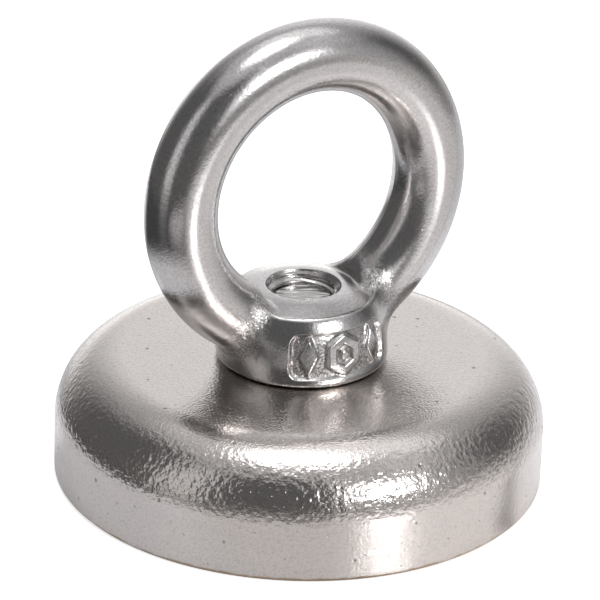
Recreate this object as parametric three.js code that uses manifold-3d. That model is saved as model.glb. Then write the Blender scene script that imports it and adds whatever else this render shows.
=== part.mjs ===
// Magnet fishing magnet: a steel pot holding a ring magnet, with a lifting eye nut clamped on its
// back by a countersunk screw that comes through from the magnet's face.
// Millimetres, +Z up. The pot stands on its open rim at z = 0, its axis is the Z axis, and the
// eye lies in the XZ plane with the marked side of its boss facing -Y.

import * as THREE from 'three';
import * as BufferGeometryUtils from 'three/addons/utils/BufferGeometryUtils.js';
import Module from 'manifold-3d';

// ---- driving dimensions ----

const POT = { radius: 18, height: 9.2, edgeRadius: 5, footChamfer: 0.25, wall: 1.8, base: 4.5 };
const MAGNET = { radius: 15.5, bore: 6.6, recess: 0.2, glue: 0.2, chamfer: 0.25 };
const BUSH = { radius: 6, countersink: 4.95, hole: 2.75 };
const POTTING_RECESS = 0.3;
const THREAD = {
  major: 2.5, depth: 0.433, pitch: 0.8, crestFlat: 0.1, rootFlat: 0.2, clearance: 0.05,
};
const SCREW = { face: 0.35, end: 13.9, edge: 0.1, headGap: 0.07, threadStart: 4.2 };
const SOCKET = { flats: 3, depth: 2 };
const EYE = { ringRadius: 10.3, sectionRadius: 2.65 };
const BOSS = { radius: 6.33, height: 5.6, foot: 0.29, straight: 1.2 };
const SHOULDER = [
  { radius: 5.95, height: 4 },
  { radius: 5.66, height: 4.72 },
  { radius: 5.25, height: 5.08 },
];
const HOLE = { mouth: 2.87, land: 3.1, spotface: 3.9 };
const PANEL = { halfAngle: 40, low: 0.7, high: 4.15, depth: 0.35 };
const MARK = { hexFlats: 2.5, hexWall: 0.5, dot: 0.28 };
const LOZENGE = { wide: 1.25, high: 2.4, angle: 26 };

const AROUND_POT = 64;
const AROUND_BOSS = 48;
const AROUND_THREAD = 24;
const AROUND_EYE = 56;
const AROUND_SECTION = 18;
const ARC_STEPS = 7;

// ---- what follows from them ----

const ceiling = POT.height - POT.base;
const cavityRadius = POT.radius - POT.wall;
const magnetTop = ceiling - MAGNET.glue;
const eyeCentre = POT.height + EYE.ringRadius + EYE.sectionRadius;
const bossTop = POT.height + BOSS.height;
const bossEdge = SHOULDER.at(-1);
const panelMiddle = POT.height + (PANEL.low + PANEL.high) / 2;

const FINISHES = {
  nickelSteel: { color: 0xc9c4be, roughness: 0.3, metalness: 1 },
  stainless: { color: 0xb4b1ad, roughness: 0.25, metalness: 1 },
  magnet: { color: 0x9fa2a6, roughness: 0.35, metalness: 1 },
  bush: { color: 0xbab6b0, roughness: 0.35, metalness: 1 },
  resin: { color: 0x2b2a28, roughness: 0.5, metalness: 0 },
};

// ---- shape helpers ----

// Turns [radius, height] points, listed anticlockwise, about the Z axis. A profile that leaves
// the axis alone is closed into a ring.
function turned(points, segments) {
  const onAxis = points[0][0] === 0;
  const outline = points.map(([radius, height]) => new THREE.Vector2(radius, height));
  if (!onAxis) outline.push(outline[0].clone());
  return new THREE.LatheGeometry(outline, segments).rotateX(Math.PI / 2);
}

// Points along a quarter of an ellipse, from the outer wall up to the level top.
function quarterRound(outerRadius, wallTop, topRadius, topHeight) {
  const points = [];
  for (let step = 0; step <= ARC_STEPS; step += 1) {
    const angle = (step / ARC_STEPS) * (Math.PI / 2);
    points.push([
      topRadius + (outerRadius - topRadius) * Math.cos(angle),
      wallTop + (topHeight - wallTop) * Math.sin(angle),
    ]);
  }
  return points;
}

const wasm = await Module();
wasm.setup();

// A closed mesh as a solid, without the zero-area triangles that a lathe has on its axis.
function solidOf(geometry) {
  geometry.deleteAttribute('normal');
  geometry.deleteAttribute('uv');
  const merged = BufferGeometryUtils.mergeVertices(geometry, 1e-4);
  const corners = merged.index.array;
  const kept = [];
  for (let i = 0; i < corners.length; i += 3) {
    const [a, b, c] = corners.slice(i, i + 3);
    if (a !== b && b !== c && c !== a) kept.push(a, b, c);
  }
  return new wasm.Manifold(new wasm.Mesh({
    numProp: 3,
    vertProperties: new Float32Array(merged.attributes.position.array),
    triVerts: new Uint32Array(kept),
  }));
}

function geometryOf(solid) {
  const mesh = solid.getMesh();
  const geometry = new THREE.BufferGeometry();
  geometry.setAttribute('position', new THREE.BufferAttribute(mesh.vertProperties, 3));
  geometry.setIndex(new THREE.BufferAttribute(mesh.triVerts, 1));
  geometry.computeVertexNormals();
  return geometry;
}

// A right-hand threaded rod about the Z axis. The grid follows the helix, so its crests and
// roots are sharp lines, and each end is a one-pitch spiral step closed to the axis.
// offset moves the whole thread form outwards (a tap) or inwards (a screw).
function threadedRod(low, high, offset) {
  const crest = THREAD.major + offset;
  const root = crest - THREAD.depth;
  const flank = (THREAD.pitch - THREAD.crestFlat - THREAD.rootFlat) / 2;
  const form = [
    [root, 0],
    [root, THREAD.rootFlat],
    [crest, THREAD.rootFlat + flank],
    [crest, THREAD.rootFlat + flank + THREAD.crestFlat],
  ];
  const perTurn = form.length;
  const start = Math.floor(low / THREAD.pitch) * THREAD.pitch;
  const last = Math.ceil((high - start) / THREAD.pitch) * perTurn;
  const positions = [];
  const columns = [];
  for (let i = 0; i < AROUND_THREAD; i += 1) {
    const angle = (i / AROUND_THREAD) * 2 * Math.PI;
    const rows = i === 0 ? last + perTurn : last;
    columns.push([]);
    for (let m = 0; m <= rows; m += 1) {
      const [radius, rise] = form[m % perTurn];
      const turns = Math.floor(m / perTurn) + i / AROUND_THREAD;
      columns[i].push(positions.length / 3);
      positions.push(radius * Math.cos(angle), radius * Math.sin(angle), start + turns * THREAD.pitch + rise);
    }
  }
  const triangles = [];
  for (let i = 0; i < AROUND_THREAD; i += 1) {
    const wraps = i === AROUND_THREAD - 1;
    const near = columns[i];
    const far = wraps ? columns[0].slice(perTurn) : columns[i + 1];
    for (let m = 0; m < last; m += 1) {
      triangles.push(near[m], far[m], far[m + 1], near[m], far[m + 1], near[m + 1]);
    }
  }
  // An end's loop runs once round the helix's edge and then down or up the step at angle zero.
  const closeEnd = (loop, height, facesUp) => {
    const hub = positions.length / 3;
    positions.push(0, 0, height);
    loop.forEach((corner, i) => {
      const next = loop[(i + 1) % loop.length];
      triangles.push(hub, ...(facesUp ? [corner, next] : [next, corner]));
    });
  };
  const bottomStep = columns[0].slice(1, perTurn + 1).reverse();
  const topStep = columns[0].slice(last).reverse();
  const top = start + (last / perTurn + 1) * THREAD.pitch;
  closeEnd([...columns.map((column) => column[0]), ...bottomStep], start, false);
  closeEnd([...columns.slice(1).map((column) => column[last]), ...topStep], top, true);
  const geometry = new THREE.BufferGeometry();
  geometry.setAttribute('position', new THREE.Float32BufferAttribute(positions, 3));
  geometry.setIndex(triangles);
  return solidOf(geometry);
}

// ---- the pieces ----

function steelPot() {
  const rim = POT.radius - POT.footChamfer;
  return turned([
    [rim, 0],
    [POT.radius, POT.footChamfer],
    ...quarterRound(POT.radius, POT.height - POT.edgeRadius, POT.radius - POT.edgeRadius, POT.height),
    [BUSH.hole, POT.height],
    [BUSH.hole, ceiling],
    [cavityRadius, ceiling],
    [cavityRadius, 0],
  ], AROUND_POT);
}

function ringMagnet() {
  const { radius, bore, recess, chamfer } = MAGNET;
  return turned([
    [radius - chamfer, recess],
    [radius, recess + chamfer],
    [radius, magnetTop],
    [bore, magnetTop],
    [bore, recess + chamfer],
    [bore + chamfer, recess],
  ], AROUND_POT);
}

// A plain ring. Rings that touch share one number of sides, so that their walls meet.
function ringBetween(inner, outer, low, high) {
  return turned([[outer, low], [outer, high], [inner, high], [inner, low]], AROUND_POT);
}

// The steel bush in the magnet's bore, countersunk at 90 degrees for the screw head.
function centreBush() {
  const coneDepth = BUSH.countersink - BUSH.hole;
  return turned([
    [BUSH.radius, MAGNET.recess],
    [BUSH.radius, ceiling],
    [BUSH.hole, ceiling],
    [BUSH.hole, MAGNET.recess + coneDepth],
    [BUSH.countersink, MAGNET.recess],
  ], AROUND_POT);
}

// An M5 countersunk screw, head down, with a hexagon socket in the head.
function countersunkScrew() {
  const shank = THREAD.major - THREAD.clearance;
  const neck = shank - THREAD.depth;
  const coneAtZero = BUSH.countersink + MAGNET.recess - SCREW.headGap;
  const headEdge = coneAtZero - SCREW.face - SCREW.edge;
  const body = solidOf(turned([
    [0, SCREW.face],
    [headEdge - SCREW.edge, SCREW.face],
    [headEdge, SCREW.face + SCREW.edge],
    [shank, coneAtZero - shank],
    [shank, SCREW.threadStart - THREAD.pitch],
    [neck, SCREW.threadStart],
    [neck, SCREW.threadStart + THREAD.pitch],
    [0, SCREW.threadStart + THREAD.pitch],
  ], AROUND_THREAD));
  const endChamfer = THREAD.depth * 0.6;
  const threadEnvelope = solidOf(turned([
    [0, SCREW.threadStart],
    [shank + endChamfer, SCREW.threadStart],
    [shank + endChamfer, SCREW.end - 2 * endChamfer],
    [shank - endChamfer, SCREW.end],
    [0, SCREW.end],
  ], AROUND_BOSS));
  const rodLow = SCREW.threadStart - 2 * THREAD.pitch;
  const rodHigh = SCREW.end + THREAD.pitch;
  const thread = threadedRod(rodLow, rodHigh, -THREAD.clearance);
  const socketRadius = SOCKET.flats / Math.sqrt(3);
  const socket = solidOf(new THREE.CylinderGeometry(socketRadius, socketRadius, 2 * SOCKET.depth, 6)
    .rotateX(Math.PI / 2)
    .translate(0, 0, SCREW.face));
  return geometryOf(body.add(thread.intersect(threadEnvelope)).subtract(socket));
}

// A flat outline stood up facing -Y, swung about the Z axis and cut to the boss's skin.
function raisedMark(outline, angle, skin) {
  const slab = new THREE.ExtrudeGeometry(outline, { depth: BOSS.radius, bevelEnabled: false, steps: 1 })
    .rotateX(Math.PI / 2)
    .translate(0, -(BOSS.radius - 2 * PANEL.depth), panelMiddle)
    .rotateZ(THREE.MathUtils.degToRad(angle));
  return solidOf(slab).intersect(skin);
}

function hexagonPath(flats, PathType) {
  const path = new PathType();
  for (let side = 0; side < 6; side += 1) {
    const angle = (side + 0.5) * (Math.PI / 3);
    const radius = flats / Math.sqrt(3);
    const method = side === 0 ? 'moveTo' : 'lineTo';
    path[method](radius * Math.cos(angle), radius * Math.sin(angle));
  }
  path.closePath();
  return path;
}

// The raised mark in the panel: a nut-shaped outline with a dot, and a lozenge on each side.
function panelMarks(skin) {
  const nut = hexagonPath(MARK.hexFlats, THREE.Shape);
  nut.holes.push(hexagonPath(MARK.hexFlats - 2 * MARK.hexWall, THREE.Path));
  const dot = new THREE.Shape();
  dot.absarc(0, 0, MARK.dot, 0, 2 * Math.PI);
  const { wide, high, angle } = LOZENGE;
  const lozenge = new THREE.Shape([[wide, 0], [0, high], [-wide, 0], [0, -high]]
    .map(([x, y]) => new THREE.Vector2(x / 2, y / 2)));
  return [
    raisedMark(nut, 0, skin),
    raisedMark(dot, 0, skin),
    raisedMark(lozenge, angle, skin),
    raisedMark(lozenge, -angle, skin),
  ];
}

// The sector that is sunk into the boss's side, down to a floor that follows the side's taper.
function panelCut() {
  const half = THREE.MathUtils.degToRad(PANEL.halfAngle);
  const middle = -Math.PI / 2;
  const sector = new THREE.Shape();
  sector.moveTo(0, 0);
  sector.absarc(0, 0, BOSS.radius + 1, middle - half, middle + half, false);
  sector.closePath();
  const wedge = new THREE.ExtrudeGeometry(sector, {
    depth: PANEL.high - PANEL.low, bevelEnabled: false, steps: 1, curveSegments: ARC_STEPS,
  });
  return solidOf(wedge.translate(0, 0, POT.height + PANEL.low)).subtract(bossBlank(PANEL.depth));
}

// The boss's blank, forged with draft: a straight foot, a tapering side, a rounded shoulder and a
// shallow cone that rises to a flat land at the hole. inset draws the side in, for the panel's floor.
function bossBlank(inset = 0) {
  const side = [
    { radius: BOSS.radius, height: BOSS.foot },
    { radius: BOSS.radius, height: BOSS.straight },
    ...SHOULDER,
  ];
  return solidOf(turned([
    [0, POT.height],
    [BOSS.radius - BOSS.foot - inset, POT.height],
    ...side.map(({ radius, height }) => [radius - inset, POT.height + height]),
    [HOLE.land, bossTop],
    [0, bossTop],
  ], AROUND_BOSS));
}

// What the spotfacing tool takes off the ring's limbs over the cone.
function spotfaceCut() {
  const slope = (BOSS.height - bossEdge.height) / (bossEdge.radius - HOLE.land);
  return solidOf(turned([
    [0, bossTop],
    [HOLE.land, bossTop],
    [HOLE.spotface, bossTop - slope * (HOLE.spotface - HOLE.land)],
    [HOLE.spotface, bossTop + EYE.sectionRadius],
    [0, bossTop + EYE.sectionRadius],
  ], AROUND_BOSS));
}

function eyeNut() {
  const boss = bossBlank();
  const ring = solidOf(new THREE.TorusGeometry(EYE.ringRadius, EYE.sectionRadius, AROUND_SECTION, AROUND_EYE)
    .rotateX(Math.PI / 2)
    .translate(0, 0, eyeCentre));
  const tap = threadedRod(POT.height - 2 * THREAD.pitch, bossTop + THREAD.pitch, THREAD.clearance);
  const minor = THREAD.major + THREAD.clearance - THREAD.depth;
  const mouthDepth = HOLE.mouth - minor;
  const mouth = solidOf(turned([
    [0, bossTop - mouthDepth],
    [minor, bossTop - mouthDepth],
    [HOLE.mouth, bossTop],
    [HOLE.mouth, bossTop + mouthDepth],
    [0, bossTop + mouthDepth],
  ], AROUND_THREAD));
  const marks = panelMarks(boss);
  const blank = boss.subtract(panelCut());
  const marked = marks.reduce((whole, mark) => whole.add(mark), blank);
  return geometryOf(marked.add(ring).subtract(spotfaceCut()).subtract(tap).subtract(mouth));
}

// ---- the assembly ----

const magnetAssembly = new THREE.Group();

function place(name, geometry, finish) {
  const mesh = new THREE.Mesh(geometry, new THREE.MeshStandardMaterial(FINISHES[finish]));
  mesh.name = name;
  magnetAssembly.add(mesh);
}

place('steel_pot', steelPot(), 'nickelSteel');
place('ring_magnet', ringMagnet(), 'magnet');
place('magnet_adhesive', ringBetween(MAGNET.bore, MAGNET.radius, magnetTop, ceiling), 'resin');
place('outer_potting_ring', ringBetween(MAGNET.radius, cavityRadius, POTTING_RECESS, ceiling), 'resin');
place('centre_bush', centreBush(), 'bush');
place('inner_potting_ring', ringBetween(BUSH.radius, MAGNET.bore, POTTING_RECESS, ceiling), 'resin');
place('countersunk_screw', countersunkScrew(), 'stainless');
place('eye_nut', eyeNut(), 'stainless');

export default magnetAssembly;
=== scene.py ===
import math

import bpy
import numpy as np
from mathutils import Matrix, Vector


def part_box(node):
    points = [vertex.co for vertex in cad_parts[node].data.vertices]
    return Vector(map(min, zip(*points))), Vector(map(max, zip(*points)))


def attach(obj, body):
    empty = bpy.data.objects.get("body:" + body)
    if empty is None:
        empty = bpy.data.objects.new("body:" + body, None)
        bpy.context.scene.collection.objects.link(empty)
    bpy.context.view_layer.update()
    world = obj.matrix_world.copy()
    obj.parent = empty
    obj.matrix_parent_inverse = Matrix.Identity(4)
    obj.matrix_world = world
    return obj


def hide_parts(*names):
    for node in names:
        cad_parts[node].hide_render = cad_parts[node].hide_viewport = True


# Looks of the magnet fishing magnet: a plated steel pot with a forged eye nut clamped on its back.
# Shapes are worked out in millimetres in the part's own frame (the pot stands at z = 0, the eye lies
# in the XZ plane, the marked side of its boss faces -Y) and become metres when a mesh is made.

MM = 0.001

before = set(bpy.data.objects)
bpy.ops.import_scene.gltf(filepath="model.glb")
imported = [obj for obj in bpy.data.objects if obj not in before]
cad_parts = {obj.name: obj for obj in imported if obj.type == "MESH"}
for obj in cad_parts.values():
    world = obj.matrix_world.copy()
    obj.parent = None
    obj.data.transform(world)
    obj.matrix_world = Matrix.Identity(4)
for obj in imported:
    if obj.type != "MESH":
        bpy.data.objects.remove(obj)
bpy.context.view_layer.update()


# ---- sizes that the CAD fixes ----

def corners_mm(node):
    """Lowest and highest corner of a CAD node, in millimetres."""
    low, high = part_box(node)
    return np.array(low) / MM, np.array(high) / MM


_, pot_high = corners_mm("steel_pot")
magnet_low, magnet_high = corners_mm("ring_magnet")
bush_low, bush_high = corners_mm("centre_bush")
potting_low, potting_high = corners_mm("outer_potting_ring")
_, inner_potting_high = corners_mm("inner_potting_ring")
screw_low, screw_high = corners_mm("countersunk_screw")
_, eye_high = corners_mm("eye_nut")

POT_RADIUS = pot_high[0]
POT_TOP = pot_high[2]
POT_EDGE = 5.0
POT_FOOT = 0.25
CEILING = potting_high[2]
CAVITY = potting_high[0]
SCREW_HOLE = 2.75

MAGNET_RADIUS = magnet_high[0]
MAGNET_BORE = inner_potting_high[0]
BUSH_RADIUS = bush_high[0]
COUNTERSINK = 4.95

SECTION = 2.65
RING = eye_high[0] - SECTION
EYE_CENTRE = eye_high[2] - eye_high[0]
BOSS = eye_high[1]
BOSS_FOOT = 0.29
BOSS_TOP = POT_TOP + 5.6
CREASE = (5.25, POT_TOP + 5.08)
HOLE_MOUTH = 2.87
HOLE_LAND = 3.1
HOLE_NECK = 2.72
MOUTH_DEPTH = 0.5
SPOTFACE = 3.9

THREAD_MAJOR = 2.5
THREAD_DEPTH = 0.433
THREAD_PITCH = 0.8
THREAD_CREST_FLAT = 0.1
THREAD_ROOT_FLAT = 0.2
THREAD_PLAY = 0.05
THREAD_START = 4.2
SAW_ANGLE = math.radians(58)
SOCKET_FLATS = 3.0
SOCKET_DEPTH = 2.0
HEAD_SHIFT = 0.13
HEAD_EDGE = 0.1
# The screw's end was sawn off: this deep below its full length, with marks this high and wide.
SAW_DEPTH = 0.1
SAW_RELIEF = 0.085
SAW_SIZE = 0.4


# ---- repeatable noise ----

def lattice_value(ix, iy, iz, seed):
    """The same value between -1 and 1 every time for a corner of the integer lattice."""
    mixed = (ix * 374761393 + iy * 668265263 + iz * 1103515245 + seed * 974634777) & 0xFFFFFFFF
    mixed = ((mixed ^ (mixed >> 13)) * 1274126177) & 0xFFFFFFFF
    mixed = mixed ^ (mixed >> 16)
    return mixed / 0x7FFFFFFF - 1.0


def smooth_noise(x, y, z, size, seed, octaves=1):
    """Noise between -1 and 1 whose bumps are about size across, halved at each further octave."""
    total = 0.0
    weight = 1.0
    for octave in range(octaves):
        scaled = [np.asarray(c, float) * (2 ** octave / size) + 17.31 * octave for c in (x, y, z)]
        whole = [np.floor(c).astype(np.int64) for c in scaled]
        part = [c - w for c, w in zip(scaled, whole)]
        fade = [p * p * p * (p * (p * 6 - 15) + 10) for p in part]
        value = 0.0
        for dx in (0, 1):
            for dy in (0, 1):
                for dz in (0, 1):
                    share = ((fade[0] if dx else 1 - fade[0])
                             * (fade[1] if dy else 1 - fade[1])
                             * (fade[2] if dz else 1 - fade[2]))
                    corner = lattice_value(whole[0] + dx, whole[1] + dy, whole[2] + dz, seed + octave)
                    value = value + share * corner
        total = total + weight * value
        weight *= 0.5
    return total


# ---- distance fields ----

def smooth_min(a, b, blend):
    """Union of two distances with a fillet."""
    reach = np.maximum(blend - np.abs(a - b), 0) / blend
    return np.minimum(a, b) - reach * reach * blend / 4


def smooth_max(a, b, blend):
    """Intersection of two distances with a rounded edge."""
    return -smooth_min(-a, -b, blend)


def hull_distance(r, z, outline, blend):
    """Distance to a turned convex solid, whose outline is listed from the bottom up round the outside."""
    distance = None
    for (r0, z0), (r1, z1) in zip(outline, outline[1:]):
        length = math.hypot(r1 - r0, z1 - z0)
        side = ((r - r0) * (z1 - z0) - (z - z0) * (r1 - r0)) / length
        distance = side if distance is None else smooth_max(distance, side, blend)
    return distance


def thread_radius(x, y, z, crest):
    """Radius of a right-hand thread's skin, with its crests and roots a little rounded."""
    phase = z / THREAD_PITCH - np.arctan2(y, x) / (2 * math.pi)
    rise = (phase - np.floor(phase)) * THREAD_PITCH
    flank = (THREAD_PITCH - THREAD_CREST_FLAT - THREAD_ROOT_FLAT) / 2
    height = np.clip(np.minimum(rise - THREAD_ROOT_FLAT, THREAD_PITCH - rise) / flank, 0, 1)
    rounded = height * height * (3 - 2 * height)
    return crest - THREAD_DEPTH * (1 - 0.5 * (height + rounded))


def hexagon_distance(u, v, flats):
    """Distance to an upright hexagon that is flats wide."""
    turned = [np.abs(u * math.cos(a) + v * math.sin(a)) for a in (0, math.pi / 3, 2 * math.pi / 3)]
    return np.maximum(np.maximum(turned[0], turned[1]), turned[2]) - flats / 2


def rounded_box_distance(u, v, half_wide, half_high, corner):
    """Distance to an upright rectangle with rounded corners."""
    across = np.abs(u) - half_wide + corner
    up = np.abs(v) - half_high + corner
    outside = np.hypot(np.maximum(across, 0), np.maximum(up, 0))
    return outside + np.minimum(np.maximum(across, up), 0) - corner


# ---- the eye nut's shape ----

PANEL_HALF_ANGLE = math.radians(40)
PANEL_LOW = POT_TOP + 0.7
PANEL_HIGH = POT_TOP + 4.15
PANEL_DEPTH = 0.35
PANEL_CORNER = 0.9
PANEL_DRAFT = 0.36
PANEL_BLEND = 0.12
MARK_FLATS = 2.5
MARK_WALL = 0.5
MARK_DOT = 0.28
LOZENGE_WIDE = 1.25
LOZENGE_HIGH = 2.4
LOZENGE_ANGLE = math.radians(26)

BOSS_BLEND = 0.16
SPOTFACE_BLEND = 0.7
CUT_BLEND = 0.07
# The fillet between the limbs and the boss: small at the spotface, full at the boss's side.
FILLET_FROM = (4.0, 0.35)
FILLET_TO = (5.2, 1.5)

BOSS_OUTLINE = [
    (0, POT_TOP),
    (BOSS - BOSS_FOOT, POT_TOP),
    (BOSS, POT_TOP + BOSS_FOOT),
    (BOSS, POT_TOP + 1.2),
    (5.93, POT_TOP + 3.75),
    (5.79, POT_TOP + 4.15),
    (5.61, POT_TOP + 4.53),
    (5.41, POT_TOP + 4.88),
    CREASE,
    (HOLE_LAND, BOSS_TOP),
    (0, BOSS_TOP),
]


def mark_distance(angle, v):
    """Distance to the raised mark: a nut's outline with a dot, and a lozenge on each side."""
    u = BOSS * np.sin(angle)
    ring = np.abs(hexagon_distance(u, v, MARK_FLATS - MARK_WALL)) - MARK_WALL / 2
    dot = np.hypot(u, v) - MARK_DOT
    nearest = np.minimum(ring, dot)
    slope = math.hypot(LOZENGE_WIDE, LOZENGE_HIGH)
    for side in (-1, 1):
        beside = BOSS * np.sin(angle - side * LOZENGE_ANGLE)
        lozenge = (np.abs(beside) * LOZENGE_HIGH + np.abs(v) * LOZENGE_WIDE
                   - LOZENGE_WIDE * LOZENGE_HIGH / 2) / slope
        nearest = np.minimum(nearest, lozenge)
    return nearest


def panel_distance(x, y, z):
    """Distance to the sunk panel's outline on the boss's side, and the height in the panel."""
    angle = np.arctan2(x, -y)
    v = z - (PANEL_LOW + PANEL_HIGH) / 2
    outline = rounded_box_distance(BOSS * angle, v, BOSS * PANEL_HALF_ANGLE,
                                   (PANEL_HIGH - PANEL_LOW) / 2, PANEL_CORNER)
    return outline, angle, v


def eye_distance(x, y, z):
    """Distance to the eye nut: ring and boss in one forging, tapped, spotfaced, with its panel."""
    r = np.hypot(x, y)
    ring = np.hypot(np.hypot(x, z - EYE_CENTRE) - RING, y) - SECTION
    boss = hull_distance(r, z, BOSS_OUTLINE, BOSS_BLEND)

    outline, angle, v = panel_distance(x, y, z)
    inside = -smooth_max(outline, -mark_distance(angle, v), PANEL_BLEND)
    inside = np.clip((inside + 0.04) / PANEL_DRAFT, 0, 1)
    boss = boss + PANEL_DEPTH * inside * inside * (3 - 2 * inside)

    spotface = np.maximum(r - SPOTFACE, z - BOSS_TOP - SECTION)
    limbs = smooth_max(ring, -spotface, SPOTFACE_BLEND)
    fillet = np.interp(r, *zip(FILLET_FROM, FILLET_TO))
    whole = smooth_min(limbs, boss, fillet)

    crest = THREAD_MAJOR + THREAD_PLAY
    tapped = (r - thread_radius(x, y, z, crest)) / 2
    below = np.minimum(z - BOSS_TOP, 0)
    mouth = (r - np.minimum(HOLE_MOUTH + below, HOLE_NECK + below / 4)) * 0.8
    mouth = np.maximum(mouth, BOSS_TOP - MOUTH_DEPTH - z)
    hole = np.maximum(np.minimum(tapped, mouth), z - BOSS_TOP - SECTION)
    return smooth_max(whole, -hole, CUT_BLEND)


# The skin is set in by this much, so that the forging keeps to its size under its relief.
SKIN_INSET = 0.03
GRAIN_SIZE = 0.28
GRAIN_RELIEF = 0.022
WAVE_SIZE = 2.2
WAVE_RELIEF = 0.004
PARTING_RELIEF = 0.02
PARTING_AT = 0.35
PARTING_WIDTH = 0.16


def rough_parts(x, y, z):
    """How rough the forging is left: 1 where the limbs meet the boss, 2 on the panel's floor. The forging's
    material also darkens its colour by it: painted shade in that crease and on that recessed floor.
    """
    r = np.hypot(x, y)
    ring = np.hypot(np.hypot(x, z - EYE_CENTRE) - RING, y) - SECTION
    boss = hull_distance(r, z, BOSS_OUTLINE, BOSS_BLEND)
    near = 1.3 * np.exp(-((ring - boss) / 1.3) ** 2) * np.exp(-np.maximum(ring, 0) / 0.6)
    junction = np.clip(near, 0, 1) * np.clip((r - 4.1) / 0.6, 0, 1)
    outline, angle, v = panel_distance(x, y, z)
    in_panel = np.clip((-outline - 0.1) / 0.3, 0, 1) * np.clip((mark_distance(angle, v) - 0.1) / 0.2, 0, 1)
    on_side = np.clip((r - BOSS + 0.9) / 0.3, 0, 1)
    return np.maximum(junction, 2 * in_panel * on_side)


def eye_relief(x, y, z):
    """Height of the forging's skin: grainy in its rough parts, gently wavy elsewhere."""
    rough = np.minimum(rough_parts(x, y, z), 1)
    grain = smooth_noise(x, y, z, GRAIN_SIZE, 11)
    wave = smooth_noise(x, y, z, WAVE_SIZE, 31, 2)
    # The forging dies met in the ring's plane: a faint line is left on the inside of the ring.
    inside_ring = np.clip((RING - np.hypot(x, z - EYE_CENTRE)) / SECTION, 0, 1)
    line = np.exp(-((y - PARTING_AT) / PARTING_WIDTH) ** 2) * inside_ring * (z > BOSS_TOP + 0.6)
    return -SKIN_INSET + GRAIN_RELIEF * rough * grain + WAVE_RELIEF * wave + PARTING_RELIEF * line


def eye_skin(x, y, z):
    """Distance to the eye nut with its relief."""
    return eye_distance(x, y, z) - eye_relief(x, y, z)


# ---- the screw's shape ----

def screw_distance(x, y, z):
    """Distance to the countersunk screw, head down, with its sawn end up."""
    r = np.hypot(x, y)
    shank = THREAD_MAJOR - THREAD_PLAY
    cone_at_zero = COUNTERSINK + HEAD_SHIFT
    head_radius = cone_at_zero - screw_low[2] - HEAD_EDGE
    head = hull_distance(r, z, [
        (0, screw_low[2]),
        (head_radius - HEAD_EDGE, screw_low[2]),
        (head_radius, screw_low[2] + HEAD_EDGE),
        (0, cone_at_zero),
    ], 0.05)
    neck = hull_distance(r, z, [
        (shank, screw_low[2]),
        (shank, THREAD_START - THREAD_PITCH),
        (shank - THREAD_DEPTH, THREAD_START),
        (shank - THREAD_DEPTH, THREAD_START + THREAD_PITCH),
        (0, THREAD_START + THREAD_PITCH),
    ], 0.05)
    body = smooth_min(head, np.maximum(neck, screw_low[2] + 1 - z), 0.15)
    across = x * math.cos(SAW_ANGLE) + y * math.sin(SAW_ANGLE)
    along = y * math.cos(SAW_ANGLE) - x * math.sin(SAW_ANGLE)
    wavering = across + 0.12 * np.sin(along * 1.7)
    marks = smooth_noise(wavering, along * 0.16, z * 0 + 1.5, SAW_SIZE, 7, 2)
    saw = SAW_DEPTH + SAW_RELIEF * marks
    end = z - screw_high[2] + saw
    chamfer = (r - shank + 0.26 + (z - screw_high[2])) / math.sqrt(2)
    thread = (r - thread_radius(x, y, z, shank)) / 2
    thread = smooth_max(thread, smooth_max(end, chamfer, 0.06), 0.06)
    thread = np.maximum(thread, THREAD_START - z)
    body = smooth_min(body, thread, 0.05)
    drill = 0.45 * (r - SOCKET_FLATS / 2)
    floor = z - screw_low[2] - SOCKET_DEPTH + 0.4 + drill
    socket = np.maximum(hexagon_distance(x, y, SOCKET_FLATS), floor)
    return smooth_max(body, -socket, 0.08)


# ---- meshes from distance fields ----

def graded(low, high, fine_low, fine_high, fine, coarse):
    """Grid lines from low to high: fine steps between fine_low and fine_high, coarse ones outside."""
    lines = [fine_low + fine * i for i in range(int(round((fine_high - fine_low) / fine)) + 1)]
    step = fine
    while lines[-1] < high:
        step = min(step * 1.15, coarse)
        lines.append(lines[-1] + step)
    step = fine
    while lines[0] > low:
        step = min(step * 1.15, coarse)
        lines.insert(0, lines[0] - step)
    return np.array(lines)


def surface_net(field, axes):
    """Quads over the zero level of a field: a vertex in each cell it crosses, a quad round each edge."""
    shape = np.array(field.shape)
    cells = shape - 1
    inside = field < 0
    total = np.zeros((np.prod(cells), 3))
    count = np.zeros(np.prod(cells))
    crossings = []
    for axis in range(3):
        low = [slice(None)] * 3
        high = [slice(None)] * 3
        low[axis] = slice(0, -1)
        high[axis] = slice(1, None)
        low, high = tuple(low), tuple(high)
        found = np.argwhere(inside[low] != inside[high])
        a = field[low][tuple(found.T)]
        b = field[high][tuple(found.T)]
        where = np.stack([axes[k][found[:, k]] for k in range(3)], axis=1)
        where[:, axis] += a / (a - b) * (axes[axis][found[:, axis] + 1] - axes[axis][found[:, axis]])
        u, v = (axis + 1) % 3, (axis + 2) % 3
        around = []
        for du, dv in ((-1, -1), (0, -1), (0, 0), (-1, 0)):
            cell = found.copy()
            cell[:, u] += du
            cell[:, v] += dv
            flat = np.ravel_multi_index(tuple(cell.T), cells)
            around.append(flat)
            for k in range(3):
                total[:, k] += np.bincount(flat, where[:, k], minlength=len(total))
            count += np.bincount(flat, minlength=len(count))
        quads = np.stack(around, axis=1)
        outward = inside[low][tuple(found.T)]
        quads[~outward] = quads[~outward][:, ::-1]
        crossings.append(quads)
    used = count > 0
    number = np.cumsum(used) - 1
    vertices = total[used] / count[used][:, None]
    return vertices, number[np.concatenate(crossings)]


def gradient(distance, points, reach=0.02):
    """Slope of a distance field at each point."""
    slopes = []
    for axis in range(3):
        step = np.zeros(3)
        step[axis] = reach
        ahead, behind = points + step, points - step
        slopes.append((distance(*ahead.T) - distance(*behind.T)) / (2 * reach))
    return np.stack(slopes, axis=1)


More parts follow.
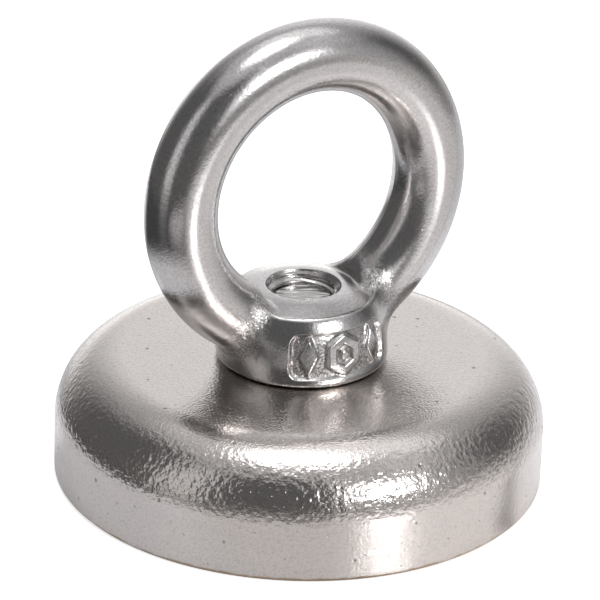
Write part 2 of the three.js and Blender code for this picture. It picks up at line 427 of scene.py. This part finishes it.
def settled(points, distance, rounds=4):
    """Points moved onto the zero level of a distance field."""
    for _ in range(rounds):
        slope = gradient(distance, points)
        steep = np.maximum((slope ** 2).sum(axis=1), 0.2)
        move = -(distance(*points.T) / steep)[:, None] * slope
        length = np.linalg.norm(move, axis=1, keepdims=True)
        points = points + move * np.minimum(1, 0.06 / np.maximum(length, 1e-9))
    return points


def mesh_object(name, vertices, faces, normals=None):
    """A smooth-shaded object from millimetre vertices."""
    mesh = bpy.data.meshes.new(name)
    faces = np.asarray(faces)
    mesh.vertices.add(len(vertices))
    mesh.vertices.foreach_set("co", (np.asarray(vertices) * MM).astype(np.float32).ravel())
    corners = faces.shape[1]
    mesh.loops.add(faces.size)
    mesh.loops.foreach_set("vertex_index", faces.astype(np.int32).ravel())
    mesh.polygons.add(len(faces))
    mesh.polygons.foreach_set("loop_start", np.arange(0, faces.size, corners, dtype=np.int32))
    mesh.update(calc_edges=True)
    mesh.validate()
    mesh.polygons.foreach_set("use_smooth", np.ones(len(mesh.polygons), dtype=bool))
    if normals is not None and len(mesh.vertices) == len(normals):
        mesh.normals_split_custom_set_from_vertices(normals.tolist())
    made = bpy.data.objects.new(name, mesh)
    bpy.context.scene.collection.objects.link(made)
    return made


def field_object(name, distance, skin, axes, rough=None):
    """A mesh of the skin field, whose grid is filled with the plainer distance field.

    rough is kept on the mesh as an attribute, for its material."""
    grid = np.meshgrid(*axes, indexing="ij", sparse=True)
    points, faces = surface_net(distance(*grid), axes)
    points = settled(points, skin)
    slope = gradient(skin, points)
    normals = slope / np.maximum(np.linalg.norm(slope, axis=1, keepdims=True), 1e-9)
    made = mesh_object(name, points, faces, normals)
    if rough is not None:
        kept = made.data.attributes.new("rough", "FLOAT", "POINT")
        kept.data.foreach_set("value", rough(*points.T).astype(np.float32))
    return made


# ---- turned meshes ----

def rounded_outline(corners, spacing, steps=4):
    """A closed outline whose (radius, height, corner radius) corners are arcs, cut into short steps."""
    count = len(corners)
    path = []
    for i, (r, z, rounding) in enumerate(corners):
        here = np.array([r, z])
        before = np.array(corners[i - 1][:2])
        after = np.array(corners[(i + 1) % count][:2])
        if rounding == 0:
            path.append(here)
            continue
        back = (before - here) / np.linalg.norm(before - here)
        ahead = (after - here) / np.linalg.norm(after - here)
        half = math.acos(np.clip(back @ ahead, -1, 1)) / 2
        reach = rounding / math.tan(half)
        middle = here + (back + ahead) / np.linalg.norm(back + ahead) * rounding / math.sin(half)
        start, end = here + back * reach, here + ahead * reach
        a0 = math.atan2(*(start - middle)[::-1])
        a1 = math.atan2(*(end - middle)[::-1])
        turn = (a1 - a0 + math.pi) % (2 * math.pi) - math.pi
        path += [middle + rounding * np.array([math.cos(a0 + turn * k / steps),
                                               math.sin(a0 + turn * k / steps)])
                 for k in range(steps + 1)]
    fine = []
    for a, b in zip(path, path[1:] + path[:1]):
        length = np.linalg.norm(b - a)
        pieces = max(1, int(math.ceil(length / spacing)))
        fine += [a + (b - a) * k / pieces for k in range(pieces)]
    return np.array(fine)


def lathe(name, outline, around, relief=None):
    """A ring of quads turned about the Z axis from a closed anticlockwise outline.

    relief gives each point's height along its outward normal."""
    angles = np.arange(around) * (2 * math.pi / around)
    rows = len(outline)
    ahead = np.roll(outline, -1, axis=0) - outline
    behind = outline - np.roll(outline, 1, axis=0)
    unit = ahead / np.linalg.norm(ahead, axis=1, keepdims=True)
    unit = unit + behind / np.linalg.norm(behind, axis=1, keepdims=True)
    normal = np.stack([unit[:, 1], -unit[:, 0]], axis=1)
    normal /= np.linalg.norm(normal, axis=1, keepdims=True)
    r = np.repeat(outline[:, 0][:, None], around, axis=1)
    z = np.repeat(outline[:, 1][:, None], around, axis=1)
    if relief is not None:
        height = relief(r * np.cos(angles), r * np.sin(angles), z)
        r = r + height * normal[:, 0][:, None]
        z = z + height * normal[:, 1][:, None]
    points = np.stack([r * np.cos(angles), r * np.sin(angles), z], axis=2).reshape(-1, 3)
    index = np.arange(rows * around).reshape(rows, around)
    up = np.roll(index, -1, axis=0)
    faces = np.stack([index, np.roll(index, -1, axis=1), np.roll(up, -1, axis=1), up], axis=2)
    return mesh_object(name, points, faces.reshape(-1, 4))


# ---- the pot ----

POT_AROUND = 640
PEEL_RELIEF = 0.007
SWELL_RELIEF = 0.001


def fillet_weight(r, z):
    """1 on the pot's big rounded edge, less on its flat top and least on its straight side."""
    across = np.clip((r - (POT_RADIUS - POT_EDGE)) / POT_EDGE, 0, 1)
    up = np.clip((z - (POT_TOP - POT_EDGE)) / POT_EDGE, 0, 1)
    on_top = np.clip((across - 0.35) / 0.4, 0, 1)
    on_side = np.clip(up / 0.25, 0, 1)
    return (0.16 + 0.84 * on_top ** 1.5) * (0.3 + 0.7 * on_side)


def pot_relief(x, y, z):
    """Orange peel on the pot's outside, always inwards, so that the pot keeps its size."""
    r = np.hypot(x, y)
    outside = (r > CAVITY + 0.2) | (z > CEILING + 0.5)
    outside &= z > POT_FOOT + 0.05
    peel = smooth_noise(x, y, z, 0.5, 3) + 0.6 * smooth_noise(x, y, z, 0.33, 5)
    swell = smooth_noise(x, y, z, 3.0, 9, 2)
    depth = PEEL_RELIEF * fillet_weight(r, z) * (peel - 1.6) + SWELL_RELIEF * (swell - 1.5)
    return np.where(outside, depth, 0)


def make_pot():
    """The shell: its outside in fine steps for the peel, its hidden inside in coarser ones."""
    wall_top = POT_TOP - POT_EDGE
    flat = POT_RADIUS - POT_EDGE
    wall_low = POT_FOOT + 0.35
    flat_end = SCREW_HOLE + 0.3
    straight = rounded_outline([
        (CAVITY, 0, 0.08),
        (POT_RADIUS - POT_FOOT, 0, 0.12),
        (POT_RADIUS, POT_FOOT, 0.12),
        (POT_RADIUS, wall_low, 0),
        (flat_end, POT_TOP, 0),
        (SCREW_HOLE, POT_TOP, 0.06),
        (SCREW_HOLE, CEILING, 0.1),
        (CAVITY, CEILING, 0.15),
    ], 0.9, 3)
    wall = [(POT_RADIUS, z) for z in np.linspace(wall_low, wall_top, 13)]
    turns = np.linspace(0, math.pi / 2, 60)[1:-1]
    edge = [(flat + POT_EDGE * math.cos(turn), wall_top + POT_EDGE * math.sin(turn)) for turn in turns]
    top = [(r, POT_TOP) for r in np.linspace(flat, flat_end, 24)]
    before = np.argmin(np.hypot(straight[:, 0] - POT_RADIUS, straight[:, 1] - wall_low))
    after = np.argmin(np.hypot(straight[:, 0] - flat_end, straight[:, 1] - POT_TOP))
    outline = np.concatenate([straight[:before], np.array(wall + edge + top), straight[after + 1:]])
    return lathe("steel_pot_shell", outline, POT_AROUND, pot_relief)


# ---- what the pot holds ----

def make_magnet():
    """The plated ring, chamfered at the face that grips."""
    low, high, edge = magnet_low[2], magnet_high[2], 0.16
    chamfer = 0.25
    outline = rounded_outline([
        (MAGNET_BORE + chamfer, low, edge),
        (MAGNET_RADIUS - chamfer, low, edge),
        (MAGNET_RADIUS, low + chamfer, edge),
        (MAGNET_RADIUS, high, 0.05),
        (MAGNET_BORE, high, 0.05),
        (MAGNET_BORE, low + chamfer, edge),
    ], 0.5)
    return lathe("ring_magnet_plated", outline, 320)


def make_bush():
    """The countersunk bush in the magnet's bore."""
    low, high = bush_low[2], bush_high[2]
    cone = COUNTERSINK - SCREW_HOLE
    outline = rounded_outline([
        (COUNTERSINK, low, 0.06),
        (BUSH_RADIUS, low, 0.1),
        (BUSH_RADIUS, high, 0.05),
        (SCREW_HOLE, high, 0.05),
        (SCREW_HOLE, low + cone, 0.1),
    ], 0.35)
    return lathe("centre_bush_turned", outline, 256)


def make_potting(name, inner, outer):
    """A ring of resin whose face has crept up both walls and sunk a little between them."""
    low, high = potting_low[2], potting_high[2]
    sag = 0.14
    steps = 12
    face = []
    for step in range(steps + 1):
        across = step / steps
        sunk = sag * (1 - (2 * across - 1) ** 4)
        face.append((inner + (outer - inner) * across, low + sunk))
    upper = rounded_outline([(inner, high, 0), (inner, low, 0), (outer, low, 0), (outer, high, 0)], 0.6)
    below = np.abs(upper[:, 1] - low) < 1e-6
    first = int(np.argmax(below))
    outline = np.concatenate([upper[:first], np.array(face), upper[first + int(below.sum()):]])

    def ripple(x, y, z):
        wave = 0.02 * smooth_noise(x, y, z * 0, 1.4, 41, 2) - 0.03
        return np.where(z < low + 0.3, wave, 0)
    return lathe(name, outline, 320, ripple)


# ---- materials ----

class Nodes:
    """Short calls for the few shader nodes that this script uses, in millimetres."""

    def __init__(self, tree):
        self.tree = tree

    def add(self, kind, **settings):
        node = self.tree.nodes.new(kind)
        for key, value in settings.items():
            setattr(node, key, value)
        return node

    def feed(self, node, index, value):
        """Sets an input to a constant, or links it to a socket."""
        if isinstance(value, bpy.types.NodeSocket):
            self.tree.links.new(value, node.inputs[index])
        elif value is not None:
            node.inputs[index].default_value = value

    def math(self, operation, a, b=None, c=None):
        node = self.add("ShaderNodeMath", operation=operation)
        for index, value in enumerate((a, b, c)):
            self.feed(node, index, value)
        return node.outputs[0]

    def vector(self, operation, a, b=None, scale=None):
        node = self.add("ShaderNodeVectorMath", operation=operation)
        self.feed(node, 0, a)
        self.feed(node, 1, b)
        self.feed(node, "Scale", scale)
        return node.outputs["Value" if operation in ("LENGTH", "DOT_PRODUCT") else "Vector"]

    def split(self, vector):
        node = self.add("ShaderNodeSeparateXYZ")
        self.feed(node, 0, vector)
        return node.outputs

    def join(self, x, y, z):
        node = self.add("ShaderNodeCombineXYZ")
        for index, value in enumerate((x, y, z)):
            self.feed(node, index, value)
        return node.outputs[0]

    def place(self):
        """Object coordinates in millimetres."""
        here = self.add("ShaderNodeTexCoord").outputs["Object"]
        return self.vector("SCALE", here, scale=1 / MM)

    def noise(self, vector, scale, detail=2.0, roughness=0.5):
        node = self.add("ShaderNodeTexNoise")
        self.feed(node, "Vector", vector)
        self.feed(node, "Scale", scale)
        self.feed(node, "Detail", detail)
        self.feed(node, "Roughness", roughness)
        return node.outputs[0]

    def cells(self, vector, scale):
        """Distance to the nearest of the points scattered through space."""
        node = self.add("ShaderNodeTexVoronoi", feature="F1")
        self.feed(node, "Vector", vector)
        self.feed(node, "Scale", scale)
        return node.outputs["Distance"]

    def ramp(self, value, low, high, to_low=0.0, to_high=1.0):
        """A smooth step from one value to another."""
        node = self.add("ShaderNodeMapRange", interpolation_type="SMOOTHSTEP")
        for key, given in (("Value", value), ("From Min", low), ("From Max", high),
                           ("To Min", to_low), ("To Max", to_high)):
            self.feed(node, key, given)
        return node.outputs[0]

    def mix(self, factor, a, b):
        node = self.add("ShaderNodeMix", data_type="RGBA")
        self.feed(node, 0, factor)
        self.feed(node, 6, a)
        self.feed(node, 7, b)
        return node.outputs[2]

    def bump(self, height, distance, normal=None):
        """Relief that is distance millimetres high where height goes from 0 to 1."""
        node = self.add("ShaderNodeBump")
        self.feed(node, "Strength", 1.0)
        self.feed(node, "Distance", distance * MM)
        self.feed(node, "Height", height)
        self.feed(node, "Normal", normal)
        return node.outputs[0]


def colour(red, green, blue):
    return (red, green, blue, 1.0)


PLATE_WARM = colour(0.652, 0.607, 0.577)
PLATE_PALE = colour(0.683, 0.64, 0.612)
PLATE_SHADE = colour(0.4, 0.37, 0.345)
PLATE_DIRT = colour(0.24, 0.195, 0.155)
WORN_BROWN = colour(0.33, 0.23, 0.12)
FORGING_DARK = colour(0.625, 0.602, 0.592)
FORGING_PALE = colour(0.672, 0.652, 0.642)
# Dark colour for the eye's specks and mottle, and for its painted shade in the crease by the boss and on
# the panel's floor.
SPECK_AND_SHADE_DARK = colour(0.2, 0.185, 0.175)


def new_material(name, **constants):
    """A Principled material, its constants set on the shader's own sockets."""
    material = bpy.data.materials.new(name)
    material.use_nodes = True
    nodes = Nodes(material.node_tree)
    shader = material.node_tree.nodes["Principled BSDF"]
    for key, value in constants.items():
        shader.inputs[key.replace("_", " ")].default_value = value
    return material, nodes, shader


def turned_lines(nodes, place, across, along):
    """Fine lines round the Z axis: noise that changes quickly across them and slowly along them."""
    x, y, z = nodes.split(place)
    radius = nodes.vector("LENGTH", nodes.join(x, y, 0.0))
    turn = nodes.math("ARCTAN2", y, x)
    spread = nodes.join(nodes.math("MULTIPLY", radius, across),
                        nodes.math("MULTIPLY", nodes.math("SINE", turn), along),
                        nodes.math("ADD", nodes.math("MULTIPLY", z, across),
                                   nodes.math("MULTIPLY", nodes.math("COSINE", turn), along)))
    return nodes.noise(spread, 1.0, 3.0, 0.6)


def pot_material():
    """Nickel plate over pressed steel: satin, with orange peel, specks and a worn brown foot."""
    material, nodes, shader = new_material("nickel_plate", Metallic=1.0)
    wall_top = POT_TOP - POT_EDGE
    place = nodes.place()
    x, y, z = nodes.split(place)
    radius = nodes.vector("LENGTH", nodes.join(x, y, 0.0))
    cloud = nodes.noise(place, 0.22, 3.0)
    specks = nodes.ramp(nodes.noise(place, 3.1, 2.0, 0.6), 0.69, 0.76)
    pits = nodes.ramp(nodes.cells(place, 0.7), 0.13, 0.07)
    pits = nodes.math("MULTIPLY", pits, nodes.ramp(nodes.noise(place, 0.35, 1.0), 0.46, 0.56))
    dirt = nodes.math("MAXIMUM", nodes.math("MULTIPLY", specks, 0.4), nodes.math("MULTIPLY", pits, 0.7))
    plate = nodes.mix(cloud, PLATE_WARM, PLATE_PALE)
    mottle = nodes.ramp(nodes.noise(place, 5.2, 3.0, 0.7), 0.32, 0.56, 0.75, 0.0)
    plate = nodes.mix(nodes.math("MULTIPLY", mottle, 0.46), plate, PLATE_SHADE)
    plate = nodes.mix(dirt, plate, PLATE_DIRT)
    wander = nodes.math("MULTIPLY", nodes.noise(place, 1.1, 2.0), 0.35)
    foot = nodes.ramp(nodes.math("SUBTRACT", z, wander), 0.24, 0.04)
    foot = nodes.math("MULTIPLY", foot, nodes.ramp(radius, POT_RADIUS - 0.7, POT_RADIUS - 0.25))
    worn = nodes.mix(nodes.math("MULTIPLY", foot, 0.85), plate, WORN_BROWN)
    nodes.feed(shader, "Base Color", worn)

    lines = turned_lines(nodes, place, 9.0, 2.2)
    satin = nodes.ramp(nodes.noise(place, 1.8, 3.0, 0.6), 0.3, 0.7, 0.11, 0.17)
    satin = nodes.math("ADD", satin, nodes.math("MULTIPLY", lines, 0.04))
    satin = nodes.math("ADD", satin, nodes.ramp(z, wall_top, wall_top - 0.8, 0.0, 0.07))
    nodes.feed(shader, "Roughness", nodes.math("ADD", satin, nodes.math("MULTIPLY", dirt, 0.3)))

    edge = nodes.ramp(radius, POT_RADIUS - 3.2, POT_RADIUS - 1.1, 0.14, 1.0)
    side = nodes.ramp(z, wall_top - 0.4, wall_top + 1.2, 0.22, 1.0)
    peel = nodes.noise(place, 2.7, 0.8, 0.5)
    peel = nodes.math("MULTIPLY", peel, nodes.math("MULTIPLY", edge, side))
    relief = nodes.bump(peel, 0.058)
    grain = nodes.noise(place, 6.0, 1.5, 0.5)
    grain = nodes.math("MULTIPLY", grain, nodes.ramp(radius, 12.5, 14.5, 1.6, 0.8))
    relief = nodes.bump(grain, 0.019, relief)
    relief = nodes.bump(lines, 0.009, relief)
    nodes.feed(shader, "Normal", nodes.bump(dirt, -0.03, relief))
    return material


def eye_material():
    """Tumbled stainless forging: bright and smooth, with faint waves, scuffs and dark specks, rough where
    the limbs meet the boss and on the panel's floor, where its colour is darkened as painted shade.
    """
    material, nodes, shader = new_material("stainless_forging", Metallic=1.0)
    place = nodes.place()
    roughness = nodes.add("ShaderNodeAttribute", attribute_name="rough").outputs["Fac"]
    rough = nodes.math("MINIMUM", roughness, 1.0)
    cloud = nodes.noise(place, 0.35, 3.0)
    grain = nodes.noise(place, 4.4, 3.0, 0.62)
    specks = nodes.ramp(grain, 0.7, 0.78)
    fine = nodes.noise(place, 7.0, 2.0, 0.6)
    # Painted shade: the colour darkens in speckles where the limbs meet the boss and on the sunk panel's
    # floor.
    crease_shade = nodes.math("MULTIPLY", nodes.ramp(fine, 0.55, 0.44), rough)
    dark = nodes.math("MAXIMUM", nodes.math("MULTIPLY", specks, 0.35), nodes.math("MULTIPLY", crease_shade, 0.8))
    mottle = nodes.ramp(nodes.noise(place, 6.0, 3.0, 0.7), 0.3, 0.6, 0.28, 0.0)
    dark = nodes.math("MAXIMUM", dark, mottle)
    skin = nodes.mix(cloud, FORGING_DARK, FORGING_PALE)
    skin = nodes.mix(dark, skin, SPECK_AND_SHADE_DARK)
    nodes.feed(shader, "Base Color", skin)
    scuff = nodes.ramp(nodes.noise(place, 2.4, 4.0, 0.65), 0.35, 0.75, 0.13, 0.21)
    scuff = nodes.math("ADD", scuff, nodes.ramp(roughness, 0.0, 2.0, 0.0, 0.3))
    nodes.feed(shader, "Roughness", nodes.math("ADD", scuff, nodes.math("MULTIPLY", dark, 0.25)))
    relief = nodes.bump(nodes.noise(place, 0.9, 2.0), 0.008)
    relief = nodes.bump(grain, 0.011, relief)
    relief = nodes.bump(nodes.math("MULTIPLY", fine, rough), 0.05, relief)
    nodes.feed(shader, "Normal", nodes.bump(specks, -0.012, relief))
    return material


def steel_material(name, light, dark, roughness, across):
    """Turned steel: fine lines round the axis in its colour, gloss and relief."""
    material, nodes, shader = new_material(name, Metallic=1.0)
    place = nodes.place()
    lines = turned_lines(nodes, place, across, 1.5)
    cloud = nodes.noise(place, 1.2, 3.0)
    tone = nodes.math("MULTIPLY", nodes.math("ADD", lines, cloud), 0.5)
    nodes.feed(shader, "Base Color", nodes.mix(tone, colour(*dark), colour(*light)))
    nodes.feed(shader, "Roughness", nodes.ramp(tone, 0.3, 0.7, roughness * 0.8, roughness * 1.25))
    grain = nodes.bump(nodes.noise(place, 6.0, 3.0), 0.006)
    nodes.feed(shader, "Normal", nodes.bump(lines, 0.008, grain))
    return material


def resin_material(name, light, dark, roughness):
    """Cast resin: glossy, slightly clouded, with a few bubbles at its face."""
    material, nodes, shader = new_material(name)
    place = nodes.place()
    cloud = nodes.noise(place, 0.9, 4.0, 0.6)
    bubbles = nodes.ramp(nodes.cells(place, 1.1), 0.16, 0.08)
    bubbles = nodes.math("MULTIPLY", bubbles, nodes.ramp(nodes.noise(place, 0.8, 1.0), 0.5, 0.62))
    nodes.feed(shader, "Base Color", nodes.mix(cloud, colour(*dark), colour(*light)))
    nodes.feed(shader, "Roughness", nodes.ramp(cloud, 0.3, 0.7, roughness * 0.8, roughness * 1.3))
    swell = nodes.bump(cloud, 0.02)
    nodes.feed(shader, "Normal", nodes.bump(bubbles, -0.05, swell))
    return material


# ---- the studio ----

SURROUND = 0.125
CARDS = [
    # azimuth from +Y towards +X, elevation, half width, half height, their softness, radiance
    ("key softbox", 168.5, 27, 9.5, 6.5, 6, 6, 18.0),
    ("key spill", 164, 28, 18, 20, 22, 22, 0.6),
    ("overhead softbox", 0, 90, 400, 14, 10, 10, 3.5),
    ("sky", 0, 65, 400, 11, 12, 12, 0.45),
    ("high surround", 50, 64, 55, 9, 20, 14, 0.55),
    ("upper haze", 60, 48, 90, 10, 30, 18, 0.28),
    ("backdrop", 34, 14, 28, 26, 66, 26, 0.92),
    ("backdrop foot", 22, -5, 20, 7, 26, 18, 1.0),
    ("side strip", -94, 22, 12, 28, 12, 20, 0.6),
    ("far strip", -173, 30, 4, 24, 12, 14, 0.95),
    ("side reflector", 134, 18, 18, 40, 30, 34, 0.26),
    ("right floor", 125, -10, 65, 12, 34, 18, 0.2),
    ("front floor", 170, -20, 8, 8, 16, 12, 0.3),
    ("low surround", 0, -52, 400, 24, 12, 12, 0.32),
]
TABLE_LIGHT_PATCHES = [
    # centre in millimetres, radius where the patch of painted light starts to fade, radius where it is
    # gone, glow
    ("behind", (6.0, 70.0, 0.0), 20.0, 46.0, 0.95),
    ("beside", (19.0, -9.0, 0.0), 4.0, 12.0, 0.9),
    ("corner", (-13.0, 17.0, 0.0), 3.0, 15.0, 1.0),
    ("before", (-53.0, -53.0, 0.0), 15.0, 40.0, 0.5),
]
TABLE_BEARING = (0.8, -0.6, 0.0)
# Where a band of painted shade crosses the table.
TABLE_SHADE_BAND = -16.6
TABLE_RADIUS = 160.0
TABLE_GLOW = 0.3
FLOOR_RADIUS = 1500.0
FLOOR_GLOW = 0.72


def make_world():
    """Soft lights on a dim surround for everything but the camera, which sees plain white."""
    world = bpy.data.worlds.new("studio")
    world.use_nodes = True
    tree = world.node_tree
    tree.nodes.clear()
    nodes = Nodes(tree)
    direction = nodes.add("ShaderNodeTexCoord").outputs["Generated"]
    x, y, z = nodes.split(direction)
    degrees = 180 / math.pi
    azimuth = nodes.math("MULTIPLY", nodes.math("ARCTAN2", x, y), degrees)
    elevation = nodes.math("MULTIPLY", nodes.math("ARCSINE", z), degrees)
    light = SURROUND
    for _name, at, up, half_wide, half_high, soft_wide, soft_high, radiance in CARDS:
        beside = nodes.math("SUBTRACT", azimuth, float(at))
        beside = nodes.math("ABSOLUTE", nodes.math("WRAP", beside, 180.0, -180.0))
        over = nodes.math("ABSOLUTE", nodes.math("SUBTRACT", elevation, float(up)))
        card = nodes.ramp(over, half_high - soft_high / 2, half_high + soft_high / 2, radiance, 0.0)
        if half_wide < 180:
            wide = nodes.ramp(beside, half_wide - soft_wide / 2, half_wide + soft_wide / 2, 1.0, 0.0)
            card = nodes.math("MULTIPLY", card, wide)
        light = nodes.math("ADD", card, light)
    studio = nodes.add("ShaderNodeBackground")
    upwards = nodes.ramp(elevation, -5.0, 20.0)
    nodes.feed(studio, "Color", nodes.mix(upwards, colour(1.0, 0.985, 0.975), colour(0.985, 0.99, 1.01)))
    nodes.feed(studio, "Strength", light)
    white = nodes.add("ShaderNodeBackground")
    nodes.feed(white, "Color", colour(1, 1, 1))
    nodes.feed(white, "Strength", 1.0)
    choose = nodes.add("ShaderNodeMixShader")
    nodes.feed(choose, 0, nodes.add("ShaderNodeLightPath").outputs["Is Camera Ray"])
    nodes.feed(choose, 1, studio.outputs[0])
    nodes.feed(choose, 2, white.outputs[0])
    nodes.feed(nodes.add("ShaderNodeOutputWorld"), 0, choose.outputs[0])
    bpy.context.scene.world = world


def disc(name, radius, height, material):
    """A flat round sheet, part of the studio."""
    around = 96
    angles = np.arange(around) * (2 * math.pi / around)
    rim = np.stack([radius * np.cos(angles), radius * np.sin(angles), np.full(around, height)], axis=1)
    vertices = np.concatenate([rim, [[0, 0, height]]])
    index = np.arange(around)
    faces = np.stack([index, np.roll(index, -1), np.full(around, around)], axis=1)
    sheet = mesh_object(name, vertices, faces)
    sheet.data.materials.append(material)
    return sheet


def painted_glow_table_material():
    """Glossy white sheet that glows with painted light and shade: brightest behind and at the right,
    falling off into painted shade on the left.
    """
    material, nodes, shader = new_material("table_painted_glow", Roughness=0.12, Emission_Strength=TABLE_GLOW)
    place = nodes.place()
    x, y, _ = nodes.split(place)
    radius = nodes.vector("LENGTH", place)
    bearing = nodes.vector("NORMALIZE", place)
    # Painted light: colour and glow both follow this pattern of brighter and darker places, and the metal
    # mirrors it.
    near = nodes.ramp(radius, 30.5, 43.0, 0.67, 0.05)
    right = nodes.ramp(nodes.vector("DOT_PRODUCT", bearing, TABLE_BEARING), -0.1, 0.55)
    right = nodes.math("MULTIPLY", right, nodes.ramp(radius, 30.0, 55.0, 0.87, 0.68))
    painted_light = nodes.math("MAXIMUM", near, right)
    for _name, centre, fading, gone, glow in TABLE_LIGHT_PATCHES:
        away = nodes.vector("LENGTH", nodes.vector("SUBTRACT", place, centre))
        painted_light = nodes.math("MAXIMUM", painted_light, nodes.ramp(away, fading, gone, glow, 0.0))
    # A band of painted shade crosses the table here.
    shade_band = nodes.math("ABSOLUTE", nodes.math("SUBTRACT", y, TABLE_SHADE_BAND))
    shade_band = nodes.math("MULTIPLY", nodes.ramp(shade_band, 0.4, 1.5, 0.5, 0.0), nodes.ramp(x, 7.0, 10.0))
    painted_light = nodes.math("MULTIPLY", painted_light, nodes.math("SUBTRACT", 1.0, shade_band))
    cool = nodes.ramp(y, -20.0, -8.0)
    tint = nodes.mix(cool, colour(1.0, 0.975, 0.965), colour(0.97, 0.975, 1.0))
    painted_glow = nodes.vector("SCALE", tint, scale=painted_light)
    nodes.feed(shader, "Base Color", painted_glow)
    nodes.feed(shader, "Emission Color", painted_glow)
    return material


def make_stage():
    """The pale floor that the camera sees, and the smaller glossy table top that the metal mirrors, which
    glows with painted light and shade.
    """
    material, _, _ = new_material(
        "floor_white", Base_Color=colour(0.8, 0.8, 0.8), Roughness=0.9,
        Emission_Color=colour(1, 1, 1), Emission_Strength=FLOOR_GLOW)
    floor = disc("floor", FLOOR_RADIUS, -0.01, material)
    floor.visible_glossy = False
    floor.visible_diffuse = False
    floor.visible_shadow = False

    table = disc("table_top", TABLE_RADIUS, -0.03, painted_glow_table_material())
    table.visible_camera = False
    table.visible_shadow = False


# ---- the camera ----

CAMERA_AZIMUTH = math.radians(-31.277)
CAMERA_ELEVATION = math.radians(24.641)
CAMERA_ROLL = math.radians(1.882)
CAMERA_DISTANCE = 269.8
CAMERA_TARGET = np.array([-0.184, 0.112, 13.46])
CAMERA_LENS = 222.76


def make_camera():
    """The studio camera: a long lens, a little rolled."""
    data = bpy.data.cameras.new("studio_camera")
    data.sensor_width = 36.0
    data.lens = CAMERA_LENS
    data.clip_start = 0.01
    data.clip_end = 5.0
    right = np.array([1.0, 0.0, 0.0])
    up = np.array([0.0, math.sin(CAMERA_ELEVATION), math.cos(CAMERA_ELEVATION)])
    back = np.array([0.0, -math.cos(CAMERA_ELEVATION), math.sin(CAMERA_ELEVATION)])
    cos_roll, sin_roll = math.cos(CAMERA_ROLL), math.sin(CAMERA_ROLL)
    right, up = right * cos_roll + up * sin_roll, up * cos_roll - right * sin_roll
    cos_turn, sin_turn = math.cos(CAMERA_AZIMUTH), math.sin(CAMERA_AZIMUTH)
    turn = np.array([[cos_turn, -sin_turn, 0], [sin_turn, cos_turn, 0], [0, 0, 1]])
    right, up, back = turn @ right, turn @ up, turn @ back
    where = (CAMERA_TARGET + back * CAMERA_DISTANCE) * MM
    camera = bpy.data.objects.new("studio_camera", data)
    camera.matrix_world = Matrix([
        [right[0], up[0], back[0], where[0]],
        [right[1], up[1], back[1], where[1]],
        [right[2], up[2], back[2], where[2]],
        [0, 0, 0, 1],
    ])
    bpy.context.scene.collection.objects.link(camera)
    bpy.context.scene.camera = camera


# ---- the assembly ----

def stand_for(piece, node, body, material):
    """Dresses a piece, and lets it stand for its CAD node on the body that carries it."""
    piece.data.materials.clear()
    piece.data.materials.append(material)
    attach(piece, body)
    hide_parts(node)


def make_eye():
    """The forging, in fine steps at the boss and its thread and coarser ones round the ring."""
    fine, coarse = 0.12, 0.3
    boss = 6.6
    ring = 13.4
    axes = [
        graded(-ring, ring, -boss, boss, fine, coarse),
        graded(-boss, boss, -boss, boss, fine, coarse),
        graded(8.9, 35.4, 9.02, 15.4, fine, coarse),
    ]
    return field_object("eye_nut_forging", eye_distance, eye_skin, axes, rough_parts)


def make_screw():
    """The screw, in fine steps at its thread and coarser ones at the head's edge."""
    fine, coarse = 0.1, 0.16
    shank = 2.8
    head = 5.0
    axes = [
        graded(-head, head, -shank, shank, fine, coarse),
        graded(-head, head, -shank, shank, fine, coarse),
        graded(0.1, 14.2, 0.15, 14.15, fine, coarse),
    ]
    return field_object("countersunk_screw_m5", screw_distance, screw_distance, axes)


make_camera()
bpy.context.scene.view_settings.view_transform = "Standard"
make_world()
make_stage()

eye_piece = make_eye()
screw_piece = make_screw()

nickel = pot_material()
forging = eye_material()
turned_screw = steel_material("screw_steel", (0.68, 0.665, 0.64), (0.48, 0.465, 0.445), 0.22, 11.0)
turned_bush = steel_material("bush_steel", (0.64, 0.615, 0.58), (0.52, 0.495, 0.46), 0.24, 9.0)
plated_magnet = steel_material("magnet_nickel", (0.66, 0.66, 0.655), (0.58, 0.58, 0.575), 0.16, 2.0)
black_resin = resin_material("potting_resin", (0.04, 0.039, 0.037), (0.025, 0.024, 0.023), 0.22)
amber_resin = resin_material("adhesive_resin", (0.38, 0.34, 0.27), (0.3, 0.265, 0.21), 0.3)

stand_for(make_pot(), "steel_pot", "pot", nickel)
stand_for(make_magnet(), "ring_magnet", "pot", plated_magnet)
stand_for(make_bush(), "centre_bush", "pot", turned_bush)
stand_for(make_potting("outer_potting_resin", MAGNET_RADIUS, CAVITY),
          "outer_potting_ring", "pot", black_resin)
stand_for(make_potting("inner_potting_resin", BUSH_RADIUS, MAGNET_BORE),
          "inner_potting_ring", "pot", black_resin)
stand_for(screw_piece, "countersunk_screw", "screw", turned_screw)
stand_for(eye_piece, "eye_nut", "eye", forging)

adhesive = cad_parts["magnet_adhesive"]
adhesive.data.materials.clear()
adhesive.data.materials.append(amber_resin)
